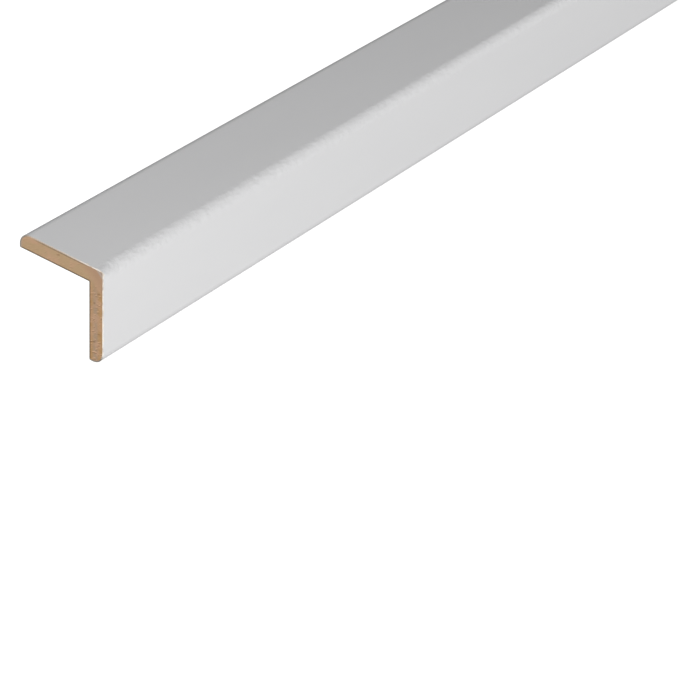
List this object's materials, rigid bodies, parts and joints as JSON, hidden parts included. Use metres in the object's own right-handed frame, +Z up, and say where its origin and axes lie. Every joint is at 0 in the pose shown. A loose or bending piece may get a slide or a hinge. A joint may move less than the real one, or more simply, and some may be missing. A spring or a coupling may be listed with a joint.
{
  "type": "corner moulding",
  "caption": "Square-cut length of equal-leg corner moulding: an MDF angle under white foil, glued over an outside corner to cover and protect it.",
  "frame": {"origin": "middle of the inner corner line, where the two glued inner faces meet", "axes": "+Y along the length, from the near cut end to the far one; +Z up through the top leg; +X outwards through the side leg; the top leg reaches towards -X and the side leg towards -Z"},
  "size_m": [0.03, 0.31, 0.03],
  "materials": {
    "mdf_core": "bare MDF, machined faces and sawn ends",
    "white_foil": "smooth satin white foil"
  },
  "bodies": {
    "root": {"mdf_core": "mdf_core", "white_foil": "white_foil"}
  },
  "joints": []
}
